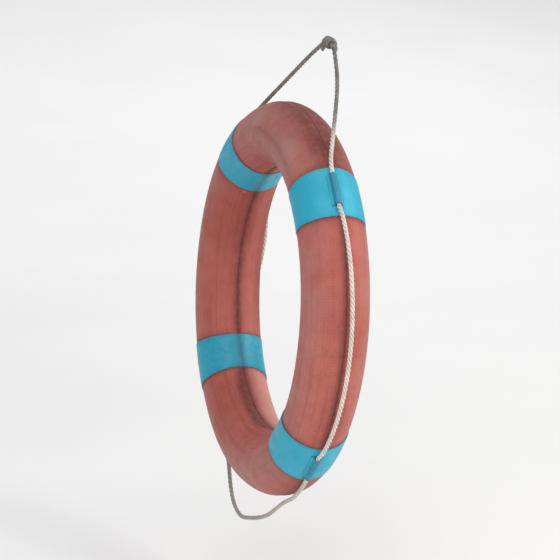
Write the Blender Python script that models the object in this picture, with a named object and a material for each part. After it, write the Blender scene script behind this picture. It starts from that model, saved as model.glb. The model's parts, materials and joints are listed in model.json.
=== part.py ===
"""Ring lifebuoy with a grab line, hanging from the knot of its line.

The ring stands in the XZ plane: +Z up, front face towards -Y, ring axis along Y.
The origin is the hanging point, where a hook bears on the line right under the knot.
Angles around the ring are measured from +X towards +Z. All lengths are in metres.
"""

import math

import bmesh
import bpy
import numpy as np
from mathutils import Vector

# --- driving dimensions -------------------------------------------------------
RING_OUTER_DIAMETER = 0.720
RING_INNER_DIAMETER = 0.480
RING_THICKNESS = 0.123
SECTION_POWER = 1.90          # superellipse exponent of the tube's section
SHELL_WALL = 0.0025
SEAM_CHAMFER = 0.0011
CORE_CLEARANCE = 0.0012
GAP = 0.0003                  # between pieces that touch

RING_CENTRE = Vector((0.0, -0.046, -0.466))

BAND_ANGLES = {"upper_right": 47.5, "upper_left": 132.0, "lower_left": 220.0, "lower_right": 320.0}
BAND_HALF_ANGLE = 8.0
BAND_THICKNESS = 0.0010

ROPE_DIAMETER = 0.008
LINE_AXIAL = -0.0050           # the keepers sit this far in front of the seam
KEEPER_HALF_ANGLE = 4.9
KEEPER_BORE_RADIUS = 0.0045
KEEPER_WALL = 0.0020
KEEPER_FLANGE = 0.0042
KEEPER_FLANGE_THICKNESS = 0.0014
PIVOT_STANDOFF = 0.0020       # from a keeper's mouth to the point a loop swings about

FILL_PLUG_ANGLE, FILL_PLUG_RADIUS = 90.0, 0.0085
VENT_PLUG_ANGLE, VENT_PLUG_RADIUS = 270.0, 0.0050
PLUG_FLANGE = 0.0040
PLUG_FLANGE_THICKNESS = 0.0016

KNOT_CENTRE = Vector((0.0, 0.0, 0.0115))
KNOT_HALF_SIZE = Vector((0.0135, 0.0115, 0.0115))

LEFT_LOOP_LEAN = 57.0         # how far the left loop has dropped behind the ring

# --- derived ------------------------------------------------------------------
OUTER_R = RING_OUTER_DIAMETER / 2
HALF_WIDTH = (RING_OUTER_DIAMETER - RING_INNER_DIAMETER) / 4
HALF_DEPTH = RING_THICKNESS / 2
MEAN_R = OUTER_R - HALF_WIDTH
ROPE_R = ROPE_DIAMETER / 2
BAND_TOP_R = OUTER_R + GAP + BAND_THICKNESS
KEEPER_BASE_R = BAND_TOP_R + GAP
ROPE_LINE_R = KEEPER_BASE_R + 0.0004 + ROPE_R
PIVOT_HALF_ANGLE = KEEPER_HALF_ANGLE + math.degrees(PIVOT_STANDOFF / ROPE_LINE_R)
HOLD_END_ANGLE = PIVOT_HALF_ANGLE - math.degrees((ROPE_R + GAP) / ROPE_LINE_R)
BAND_STEPS = (-8.0, -8.0 / 3, 8.0 / 3, 8.0)


def clear_scene():
    for obj in list(bpy.data.objects):
        bpy.data.objects.remove(obj, do_unlink=True)


def material(name, colour, roughness, metallic=0.0):
    mat = bpy.data.materials.new(name)
    mat.use_nodes = True
    shader = mat.node_tree.nodes["Principled BSDF"]
    shader.inputs["Base Color"].default_value = (*colour, 1.0)
    shader.inputs["Roughness"].default_value = roughness
    shader.inputs["Metallic"].default_value = metallic
    return mat


def link(name, data, mat, parent=None):
    obj = bpy.data.objects.new(name, data)
    bpy.context.scene.collection.objects.link(obj)
    obj.data.materials.append(mat)
    obj.parent = parent
    return obj


def mesh_object(name, bm, mat, parent, smooth=True):
    bm.normal_update()
    bmesh.ops.recalc_face_normals(bm, faces=bm.faces)
    mesh = bpy.data.meshes.new(name)
    bm.to_mesh(mesh)
    bm.free()
    if smooth:
        mesh.shade_smooth()
        mesh.set_sharp_from_angle(angle=math.radians(40))
    return link(name, mesh, mat, parent)


def empty(name, position):
    """Joint axes and the ring's centre are marked with empties."""
    obj = bpy.data.objects.new(name, None)
    bpy.context.scene.collection.objects.link(obj)
    obj.location = position
    obj.empty_display_size = 0.03
    return obj


def section(offset, start, end, steps):
    """Points (radial from the tube's centre, axial) on the tube's section grown by offset. 0 is the outer equator, 90 the front crown."""
    a, b = HALF_WIDTH + offset, HALF_DEPTH + offset
    points = []
    for i in range(steps + 1):
        s = math.radians(start + (end - start) * i / steps)
        c, d = math.cos(s), math.sin(s)
        x = a * math.copysign(abs(c) ** (2 / SECTION_POWER), c) if abs(c) > 1e-9 else 0.0
        y = b * math.copysign(abs(d) ** (2 / SECTION_POWER), d) if abs(d) > 1e-9 else 0.0
        points.append((x, -y))
    return points


def on_ring(radial, axial, angle):
    """A point of the ring, in its own frame: its centre at zero."""
    t = math.radians(angle)
    return Vector(((MEAN_R + radial) * math.cos(t), axial, (MEAN_R + radial) * math.sin(t)))


def ring_angles():
    """Stations around the ring: the bands' own edges, and even steps between them."""
    stations = []
    centres = sorted(BAND_ANGLES.values())
    for i, centre in enumerate(centres):
        stations += [centre + step for step in BAND_STEPS]
        start = centre + BAND_HALF_ANGLE
        after = centres[(i + 1) % 4] + (360 if i == 3 else 0) - BAND_HALF_ANGLE
        count = round((after - start) / 6.2)
        stations += [start + (after - start) * k / count for k in range(1, count)]
    return stations


def sweep(profile, angles, whole_turn):
    """A closed section carried around the ring, its ends capped unless it makes a whole turn."""
    bm = bmesh.new()
    loops = [[bm.verts.new(on_ring(x, y, a)) for x, y in profile] for a in angles]
    pairs = list(zip(loops, loops[1:] + loops[:1])) if whole_turn else list(zip(loops, loops[1:]))
    for one, two in pairs:
        for i in range(len(profile)):
            j = (i + 1) % len(profile)
            bm.faces.new((one[i], one[j], two[j], two[i]))
    if not whole_turn:
        bm.faces.new(loops[0])
        bm.faces.new(loops[-1])
    return bm


def shell_half(name, side, mat, parent):
    """One half of the shell: side 1 is the front, -1 the back. A small chamfer on each rim makes the seam groove."""
    rim = GAP / 2
    outer = [(x, y) for x, y in section(0.0, 0, 180, 12)]
    inner = [(x, y) for x, y in section(-SHELL_WALL, 180, 0, 8)]
    (x0, _), (x1, _) = outer[0], outer[-1]
    outer[0:1] = [(x0 - SEAM_CHAMFER, -rim), (x0, -rim - SEAM_CHAMFER)]
    outer[-1:] = [(x1, -rim - SEAM_CHAMFER), (x1 + SEAM_CHAMFER, -rim)]
    inner[0] = (inner[0][0], -rim)
    inner[-1] = (inner[-1][0], -rim)
    profile = [(x, y * side) for x, y in outer + inner]
    return mesh_object(name, sweep(profile, ring_angles(), True), mat, parent)


def plug(name, angle, radius, shell, mat, parent):
    """A push-in plug on the back crown. Its stem passes the shell's wall and stops short of the foam."""
    flange = radius + PLUG_FLANGE
    top = HALF_DEPTH + GAP
    profile = (
        (0.0, top - SHELL_WALL - 0.0010),
        (radius - 0.0008, top - SHELL_WALL - 0.0010),
        (radius - GAP, top - SHELL_WALL),
        (radius - GAP, top),
        (flange, top),
        (flange, top + PLUG_FLANGE_THICKNESS * 0.5),
        (flange - 0.0012, top + PLUG_FLANGE_THICKNESS),
        (0.0, top + PLUG_FLANGE_THICKNESS),
    )
    place = on_ring(0.0, 0.0, angle)
    sides = 20
    bm = bmesh.new()
    rings = []
    for r, y in profile:
        if r == 0.0:
            rings.append([bm.verts.new(place + Vector((0, y, 0)))] * sides)
        else:
            rings.append([
                bm.verts.new(place + Vector((r * math.cos(2 * math.pi * k / sides), y, r * math.sin(2 * math.pi * k / sides))))
                for k in range(sides)
            ])
    for one, two in zip(rings, rings[1:]):
        for k in range(sides):
            corners = []
            for v in (one[k], one[(k + 1) % sides], two[(k + 1) % sides], two[k]):
                if v not in corners:
                    corners.append(v)
            if len(corners) > 2:
                bm.faces.new(corners)
    obj = mesh_object(name, bm, mat, parent)
    bm = bmesh.new()
    bmesh.ops.create_cone(bm, cap_ends=True, segments=sides, radius1=radius, radius2=radius, depth=0.02)
    for v in bm.verts:
        v.co = Vector((v.co.x, v.co.z, v.co.y)) + place + Vector((0, HALF_DEPTH, 0))
    cutter = mesh_object(name + "_hole", bm, mat, parent, smooth=False)
    cutter.hide_render = True
    cutter.display_type = "WIRE"
    cut = shell.modifiers.new(name + "_hole", "BOOLEAN")
    cut.operation = "DIFFERENCE"
    cut.object = cutter
    return obj


def band(name, centre, mat, parent):
    """A thin sleeve of coloured tape right round the tube."""
    inside, outside = section(GAP, 0, 360, 24)[:-1], section(GAP + BAND_THICKNESS, 0, 360, 24)[:-1]
    bm = bmesh.new()
    stations = []
    for step in BAND_STEPS:
        angle = centre + step
        stations.append((
            [bm.verts.new(on_ring(x, y, angle)) for x, y in inside],
            [bm.verts.new(on_ring(x, y, angle)) for x, y in outside],
        ))
    count = len(inside)
    for one, two in zip(stations, stations[1:]):
        for layer in (0, 1):
            for i in range(count):
                j = (i + 1) % count
                bm.faces.new((one[layer][i], one[layer][j], two[layer][j], two[layer][i]))
    for inner, outer in (stations[0], stations[-1]):
        for i in range(count):
            j = (i + 1) % count
            bm.faces.new((inner[i], inner[j], outer[j], outer[i]))
    return mesh_object(name, bm, mat, parent)


def keeper(name, centre, mat, parent):
    """A saddle over the line: an arch with a flange on each side, swept along the outer equator."""
    base = KEEPER_BASE_R - MEAN_R
    rope = ROPE_LINE_R - MEAN_R
    arch = KEEPER_BORE_RADIUS + KEEPER_WALL
    half = arch + KEEPER_FLANGE
    low = base + KEEPER_FLANGE_THICKNESS
    profile = [(base, -half), (low, -half)]
    profile += [(low, -arch)]
    profile += [(rope + arch * math.sin(math.radians(a)), -arch * math.cos(math.radians(a))) for a in range(15, 180, 25)]
    profile += [(low, arch), (low, half), (base, half)]
    profile += [(base, KEEPER_BORE_RADIUS)]
    profile += [
        (rope + KEEPER_BORE_RADIUS * math.sin(math.radians(a)), KEEPER_BORE_RADIUS * math.cos(math.radians(a)))
        for a in range(0, 181, 30)
    ]
    profile += [(base, -KEEPER_BORE_RADIUS)]
    profile = [(x, LINE_AXIAL + y) for x, y in profile]
    k = KEEPER_HALF_ANGLE
    angles = [centre + step for step in (-k, BAND_STEPS[1], BAND_STEPS[2], k)]
    return mesh_object(name, sweep(profile, angles, False), mat, parent)


def rope_curve(name, points, domes, mat, parent):
    """A rope as a round tube on a poly spline. A domed end is a half ball around the first or last point."""
    path = [(Vector(p), 1.0) for p in points]
    for end, wanted in ((0, domes[0]), (-1, domes[1])):
        if not wanted:
            continue
        tip = path[end][0]
        out = (tip - path[1 if end == 0 else -2][0]).normalized()
        ball = [(tip + out * (ROPE_R * math.sin(math.radians(a))), math.cos(math.radians(a))) for a in (28, 50, 68, 82)]
        path = ball[::-1] + path if end == 0 else path + ball
    curve = bpy.data.curves.new(name, "CURVE")
    curve.dimensions = "3D"
    curve.bevel_depth = ROPE_R
    curve.bevel_resolution = 2
    curve.use_fill_caps = True
    spline = curve.splines.new("POLY")
    spline.points.add(len(path) - 1)
    for point, (place, size) in zip(spline.points, path):
        point.co = (*place, 1.0)
        point.radius = size
    return link(name, curve, mat, parent)


def smooth_route(points, spacing):
    """Evenly spaced points on a centripetal Catmull-Rom curve through the route's own points."""
    pts = np.array([tuple(p) for p in points], float)
    pts = np.vstack([2 * pts[0] - pts[1], pts, 2 * pts[-1] - pts[-2]])
    fine = []
    for i in range(1, len(pts) - 2):
        p0, p1, p2, p3 = pts[i - 1], pts[i], pts[i + 1], pts[i + 2]
        t0 = 0.0
        t1 = t0 + np.linalg.norm(p1 - p0) ** 0.5
        t2 = t1 + np.linalg.norm(p2 - p1) ** 0.5
        t3 = t2 + np.linalg.norm(p3 - p2) ** 0.5
        for t in np.linspace(t1, t2, 24, endpoint=False):
            a1 = (t1 - t) / (t1 - t0) * p0 + (t - t0) / (t1 - t0) * p1
            a2 = (t2 - t) / (t2 - t1) * p1 + (t - t1) / (t2 - t1) * p2
            a3 = (t3 - t) / (t3 - t2) * p2 + (t - t2) / (t3 - t2) * p3
            b1 = (t2 - t) / (t2 - t0) * a1 + (t - t0) / (t2 - t0) * a2
            b2 = (t3 - t) / (t3 - t1) * a2 + (t - t1) / (t3 - t1) * a3
            fine.append((t2 - t) / (t2 - t1) * b1 + (t - t1) / (t2 - t1) * b2)
    fine.append(pts[-2])
    fine = np.array(fine)
    along = np.concatenate([[0], np.cumsum(np.linalg.norm(np.diff(fine, axis=0), axis=1))])
    count = max(3, round(along[-1] / spacing) + 1)
    want = np.linspace(0, along[-1], count)
    return [Vector([np.interp(w, along, fine[:, k]) for k in range(3)]) for w in want]


def line_point(angle, lift=0.0, axial=0.0):
    """A point of the line at that angle, lifted off the radius that it has in the keepers."""
    t = math.radians(angle)
    r = ROPE_LINE_R + lift
    return Vector((r * math.cos(t), LINE_AXIAL + axial, r * math.sin(t)))


def eased(x):
    x = min(max(x, 0.0), 1.0)
    return x * x * (3 - 2 * x)


def loop_route(start, end, lift, axial, lean=0.0):
    """A grab loop from one keeper's pivot to the next. It leaves both along the keepers, stands off most in its middle,
    and leans over by turning about the line between its ends."""
    first, last = line_point(start), line_point(end)
    axis = (last - first).normalized()
    points = []
    for i in range(25):
        t = i / 24
        stand = math.sin(math.pi * t) ** 0.7 if 0 < t < 1 else 0.0
        point = line_point(start + (end - start) * t, lift * stand, axial * stand)
        a = math.radians(lean * eased(min(t, 1 - t) / 0.3))
        along = axis * (point - first).dot(axis)
        across = point - first - along
        points.append(first + along + across * math.cos(a) + axis.cross(across) * math.sin(a))
    return smooth_route(points, 0.022)


def knot(name, mat):
    """The outer shape of the barrel knot that joins the line's two ends: three turns of rope side by side."""
    length, radius = KNOT_HALF_SIZE.x, KNOT_HALF_SIZE.y
    bm = bmesh.new()
    sides, rings = 16, []
    steps = [(-1.0, 0.62), (-0.88, 0.86), (-0.66, 1.0), (-0.33, 0.93), (0.0, 1.0), (0.33, 0.93), (0.66, 1.0), (0.88, 0.86), (1.0, 0.62)]
    for along, size in steps:
        rings.append([
            bm.verts.new(KNOT_CENTRE + Vector((
                along * length,
                size * radius * math.cos(2 * math.pi * k / sides),
                size * radius * math.sin(2 * math.pi * k / sides),
            )))
            for k in range(sides)
        ])
    for one, two in zip(rings, rings[1:]):
        for k in range(sides):
            bm.faces.new((one[k], one[(k + 1) % sides], two[(k + 1) % sides], two[k]))
    bm.faces.new(rings[0])
    bm.faces.new(rings[-1])
    return mesh_object(name, bm, mat, None)


def main():
    clear_scene()
    shell_mat = material("shell_red", (0.60, 0.075, 0.055), 0.42)
    foam_mat = material("foam_cream", (0.82, 0.76, 0.60), 0.90)
    plug_mat = material("plug_red", (0.48, 0.055, 0.045), 0.50)
    band_mat = material("band_blue", (0.015, 0.33, 0.62), 0.40)
    keeper_mat = material("keeper_blue", (0.02, 0.38, 0.68), 0.45)
    rope_mat = material("rope_off_white", (0.72, 0.68, 0.64), 0.80)

    ring = empty("ring_axis", RING_CENTRE)

    shell_half("front_shell", 1, shell_mat, ring)
    back = shell_half("back_shell", -1, shell_mat, ring)
    core_steps = [360 * k / 40 for k in range(40)]
    core = section(-SHELL_WALL - CORE_CLEARANCE, 0, 360, 16)[:-1]
    mesh_object("foam_core", sweep(core, core_steps, True), foam_mat, ring)
    plug("fill_plug", FILL_PLUG_ANGLE, FILL_PLUG_RADIUS, back, plug_mat, ring)
    plug("vent_plug", VENT_PLUG_ANGLE, VENT_PLUG_RADIUS, back, plug_mat, ring)

    for place, centre in BAND_ANGLES.items():
        band(f"band_{place}", centre, band_mat, ring)
        keeper(f"rope_keeper_{place}", centre, keeper_mat, ring)
        held = [line_point(centre + step) for step in (-HOLD_END_ANGLE, BAND_STEPS[1], BAND_STEPS[2], HOLD_END_ANGLE)]
        rope_curve(f"held_line_{place}", held, (False, False), rope_mat, ring)

    ur, ul = BAND_ANGLES["upper_right"], BAND_ANGLES["upper_left"]
    ll, lr = BAND_ANGLES["lower_left"], BAND_ANGLES["lower_right"]
    p = PIVOT_HALF_ANGLE

    right = loop_route(lr - 360 + p, ur - p, 0.0240, 0.005)
    left = loop_route(ul + p, ll - p, 0.0220, 0.0, LEFT_LOOP_LEAN)
    bottom_route = [
        line_point(lr - p), line_point(lr - p - 5.0, 0.0030), line_point(lr - p - 11.0, 0.0070, -0.001),
        Vector((0.149, -0.006, -0.3430)), Vector((0.067, -0.007, -0.3950)), Vector((-0.017, -0.010, -0.4280)),
        Vector((-0.0560, -0.012, -0.4370)), Vector((-0.0880, -0.013, -0.4310)),
        Vector((-0.1070, -0.014, -0.4180)), Vector((-0.1230, -0.015, -0.3980)),
        Vector((-0.1450, -0.014, -0.3690)), line_point(ll + p + 11.0, 0.0125, -0.003),
        line_point(ll + p + 5.0, 0.0040), line_point(ll + p),
    ]
    bottom = smooth_route(bottom_route, 0.022)
    for name, points in (("grab_loop_right", right), ("grab_loop_left", left), ("grab_loop_bottom", bottom)):
        middle = (points[0] + points[-1]) / 2
        axis = empty(name.replace("grab_loop", "loop_axis"), RING_CENTRE + middle)
        rope_curve(name, [q - middle for q in points], (True, True), rope_mat, axis)

    knot_end = KNOT_HALF_SIZE.x + 0.0036
    legs = {
        "right": (line_point(ur + p), Vector((-0.745, 0.10, 0.66)), (
            Vector((0.1510, -0.0308, -0.1154)), Vector((0.0749, -0.0045, -0.0510)), Vector((0.0400, 0.0020, -0.0190)),
            Vector((0.0240, 0.0010, 0.0045)), Vector((knot_end, 0.0, 0.0095)))),
        "left": (line_point(ul - p), Vector((0.745, 0.10, 0.66)), (
            Vector((-0.1147, -0.0335, -0.0840)), Vector((-0.0530, -0.0205, -0.0300)), Vector((-0.0333, -0.0140, -0.0110)),
            Vector((-0.0235, -0.0075, 0.0010)), Vector((-knot_end, -0.0040, 0.0075)))),
    }
    for side, (start, way, upper) in legs.items():
        foot = RING_CENTRE + start
        route = [foot, foot + way.normalized() * 0.030, *upper]
        rope_curve(f"hanging_line_{side}", smooth_route(route, 0.022), (True, False), rope_mat, None)

    knot("hanging_knot", rope_mat)


main()
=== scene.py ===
"""Looks of the ring lifebuoy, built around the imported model. Metres, row frame: the ring in the XZ plane, front face towards -Y."""
import json
import math

import bpy
import numpy as np
from mathutils import Matrix, Vector

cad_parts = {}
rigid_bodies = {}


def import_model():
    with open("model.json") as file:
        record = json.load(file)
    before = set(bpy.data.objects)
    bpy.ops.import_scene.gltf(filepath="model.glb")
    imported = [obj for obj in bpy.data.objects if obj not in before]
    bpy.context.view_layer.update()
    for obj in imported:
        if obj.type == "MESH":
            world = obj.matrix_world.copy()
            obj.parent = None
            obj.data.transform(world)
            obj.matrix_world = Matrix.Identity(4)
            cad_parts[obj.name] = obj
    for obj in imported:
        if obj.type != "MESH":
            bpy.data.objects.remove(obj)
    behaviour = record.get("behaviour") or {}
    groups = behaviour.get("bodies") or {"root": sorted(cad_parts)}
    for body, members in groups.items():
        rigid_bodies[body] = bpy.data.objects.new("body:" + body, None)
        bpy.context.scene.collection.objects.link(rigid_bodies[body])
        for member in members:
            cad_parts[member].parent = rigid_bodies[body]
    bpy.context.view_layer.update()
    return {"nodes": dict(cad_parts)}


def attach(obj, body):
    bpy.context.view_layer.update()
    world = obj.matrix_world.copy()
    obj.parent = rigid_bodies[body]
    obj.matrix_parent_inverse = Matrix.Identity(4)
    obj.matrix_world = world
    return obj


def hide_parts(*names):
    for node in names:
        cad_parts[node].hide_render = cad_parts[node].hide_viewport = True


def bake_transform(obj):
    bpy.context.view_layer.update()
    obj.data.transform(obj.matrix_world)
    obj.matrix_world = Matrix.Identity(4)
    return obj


for o in list(bpy.data.objects):
    bpy.data.objects.remove(o, do_unlink=True)

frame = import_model()

# --- dimensions, as in the CAD source -----------------------------------------
OUTER_R, INNER_R, THICKNESS, POWER = 0.360, 0.240, 0.123, 1.88
MEAN_R = (OUTER_R + INNER_R) / 2
HW, HD = (OUTER_R - INNER_R) / 2, THICKNESS / 2
WALL, CHAMFER, GAP = 0.0025, 0.0009, 0.0003
SEAM_DEPTH, SEAM_WIDTH = 0.0013, 0.0075
CENTRE = Vector((0.0, -0.046, -0.466))
BANDS = {"upper_right": 47.5, "upper_left": 132.0, "lower_left": 220.0, "lower_right": 320.0}
BAND_HALF, BAND_T = 8.0, 0.0010
ROPE_D = 0.008
ROPE_R = ROPE_D / 2
KEEPER_HALF, BORE, K_WALL, K_FLANGE, K_FLANGE_T = 4.9, 0.0045, 0.0020, 0.0042, 0.0014
LINE_AXIAL = -0.0050
KEEPER_BASE = OUTER_R + GAP + BAND_T + GAP
ROPE_LINE = KEEPER_BASE + 0.0004 + ROPE_R
PIVOT = KEEPER_HALF + math.degrees(0.0020 / ROPE_LINE)
HOLD_END = PIVOT - math.degrees((ROPE_R + GAP) / ROPE_LINE)
KNOT = Vector((0.0, 0.0, 0.0115))
KNOT_HALF = Vector((0.0135, 0.0115, 0.0115))
LEAN = 57.0

rng = np.random.default_rng(11)


# --- camera: the photograph's direction, framed on the object ------------------
def camera():
    right = Vector((0.35137246, 0.92992144, 0.10855194))
    up = Vector((-0.27225826, -0.00944404, 0.96217787))
    back = right.cross(up).normalized()
    up = back.cross(right).normalized()
    place = CENTRE + Vector((6.49891833, -2.33839546, 1.83403099))
    towards = (back + right * 0.04297 - up * 0.00224).normalized()
    turn = back.rotation_difference(towards)
    m = Matrix((right, up, back)).transposed()
    m = turn.to_matrix() @ m
    data = bpy.data.cameras.new("camera")
    data.sensor_width = 36.0
    data.lens = 252.1
    data.clip_end = 100.0
    cam = bpy.data.objects.new("camera", data)
    bpy.context.scene.collection.objects.link(cam)
    cam.matrix_world = Matrix.Translation(place) @ m.to_4x4()
    bpy.context.scene.camera = cam
    bpy.context.scene.view_settings.view_transform = "Standard"
    return right, up, back


CAM_RIGHT, CAM_UP, CAM_BACK = camera()


# --- geometry helpers ----------------------------------------------------------
def obj_from(name, verts, faces, mats, uvs=None, sharp=35, attrs=None):
    mesh = bpy.data.meshes.new(name)
    mesh.from_pydata([tuple(v) for v in verts], [], [tuple(f) for f in faces])
    if uvs is not None:
        layer = mesh.uv_layers.new(name="UVMap")
        index = np.zeros(len(mesh.loops), np.int32)
        mesh.loops.foreach_get("vertex_index", index)
        layer.data.foreach_set("uv", np.asarray(uvs, np.float32)[index].ravel())
    for key, values in (attrs or {}).items():
        a = mesh.attributes.new(key, "FLOAT", "POINT")
        a.data.foreach_set("value", np.asarray(values, np.float32))
    mesh.validate()
    mesh.shade_smooth()
    mesh.set_sharp_from_angle(angle=math.radians(sharp))
    for m in mats:
        mesh.materials.append(m)
    o = bpy.data.objects.new(name, mesh)
    bpy.context.scene.collection.objects.link(o)
    return o


def face_out(o):
    """Turns the normals of a closed mesh outwards."""
    import bmesh
    bm = bmesh.new()
    bm.from_mesh(o.data)
    bm.normal_update()
    if bm.calc_volume(signed=True) < 0:
        bmesh.ops.reverse_faces(bm, faces=bm.faces)
    bm.to_mesh(o.data)
    bm.free()
    return o


def section(offset, degrees):
    a, b = HW + offset, HD + offset
    s = np.radians(np.asarray(degrees, float))
    c, d = np.cos(s), np.sin(s)
    return a * np.sign(c) * np.abs(c) ** (2 / POWER), -b * np.sign(d) * np.abs(d) ** (2 / POWER)


def eased(x):
    x = min(max(x, 0.0), 1.0)
    return x * x * (3 - 2 * x)


def groove(run, depth, width):
    """How far the surface dips near a seam, run away from it."""
    return depth * np.exp(-np.abs(run / width) ** 1.5)


def even_section(offset, start, end, count):
    """Angles from start to end whose points lie evenly along the section."""
    fine = np.linspace(start, end, 1600)
    x, y = section(offset, fine)
    run = np.concatenate([[0], np.cumsum(np.hypot(np.diff(x), np.diff(y)))])
    return np.interp(np.linspace(0, run[-1], count), run, fine)


def on_ring(radial, axial, angle):
    t = np.radians(angle)
    return np.stack([
        CENTRE.x + (MEAN_R + radial) * np.cos(t),
        CENTRE.y + axial + 0 * t,
        CENTRE.z + (MEAN_R + radial) * np.sin(t),
    ], axis=-1)


def grid_faces(rows, cols, wrap_rows, wrap_cols, offset=0):
    out = []
    for i in range(rows if wrap_rows else rows - 1):
        for j in range(cols if wrap_cols else cols - 1):
            a = i * cols + j
            b = i * cols + (j + 1) % cols
            c = ((i + 1) % rows) * cols + (j + 1) % cols
            d = ((i + 1) % rows) * cols + j
            out.append((offset + a, offset + b, offset + c, offset + d))
    return out


# --- materials -----------------------------------------------------------------
class Nodes:
    """Short hand for building one procedural material."""

    def __init__(self, name, roughness=0.5):
        self.mat = bpy.data.materials.new(name)
        self.mat.use_nodes = True
        self.tree = self.mat.node_tree
        self.shader = self.tree.nodes["Principled BSDF"]
        self.shader.inputs["Roughness"].default_value = roughness
        self.coord = self.tree.nodes.new("ShaderNodeTexCoord")

    def node(self, kind, inputs=None, **props):
        n = self.tree.nodes.new(kind)
        for k, v in props.items():
            setattr(n, k, v)
        for k, v in (inputs or {}).items():
            self.set(n.inputs[k], v)
        return n

    def set(self, socket, value):
        if isinstance(value, bpy.types.NodeSocket):
            self.tree.links.new(value, socket)
        elif hasattr(value, "__len__") and len(value) == 3 and socket.type == "RGBA":
            socket.default_value = (*value, 1.0)
        else:
            socket.default_value = value

    def at(self, scale=(1, 1, 1), turn=(0, 0, 0), uv=False):
        return self.node("ShaderNodeMapping", {
            "Vector": self.coord.outputs["UV" if uv else "Object"], "Scale": scale, "Rotation": turn,
        }).outputs["Vector"]

    def noise(self, scale, detail=3.0, rough=0.5, vector=None, distort=0.0):
        return self.node("ShaderNodeTexNoise", {
            "Vector": vector or self.coord.outputs["Object"], "Scale": scale, "Detail": detail,
            "Roughness": rough, "Distortion": distort,
        }).outputs["Fac"]

    def voronoi(self, scale, vector=None, feature="F1"):
        return self.node("ShaderNodeTexVoronoi", {
            "Vector": vector or self.coord.outputs["Object"], "Scale": scale}, feature=feature).outputs["Distance"]

    def ramp(self, value, low, high, to_low=0.0, to_high=1.0):
        return self.node("ShaderNodeMapRange", {
            "Value": value, "From Min": low, "From Max": high, "To Min": to_low, "To Max": to_high,
        }, interpolation_type="SMOOTHSTEP").outputs["Result"]

    def math(self, op, a, b=0.5, clamp=False):
        n = self.node("ShaderNodeMath", operation=op, use_clamp=clamp)
        self.set(n.inputs[0], a)
        self.set(n.inputs[1], b)
        return n.outputs[0]

    def mix(self, fac, a, b, blend="MIX"):
        n = self.node("ShaderNodeMix", data_type="RGBA", blend_type=blend)
        self.set(n.inputs["Factor"], fac)
        self.set(n.inputs[6], a)
        self.set(n.inputs[7], b)
        return n.outputs[2]

    def split(self, vector):
        return self.node("ShaderNodeSeparateXYZ", {"Vector": vector}).outputs

    def attr(self, name):
        return self.node("ShaderNodeAttribute", attribute_name=name).outputs["Fac"]

    def bump(self, height, strength, distance, after=None):
        inputs = {"Height": height, "Strength": strength, "Distance": distance}
        if after is not None:
            inputs["Normal"] = after
        return self.node("ShaderNodeBump", inputs).outputs["Normal"]

    def out(self, colour=None, rough=None, normal=None):
        if colour is not None:
            self.set(self.shader.inputs["Base Color"], colour)
        if rough is not None:
            self.set(self.shader.inputs["Roughness"], rough)
        if normal is not None:
            self.set(self.shader.inputs["Normal"], normal)
        return self.mat


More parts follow.
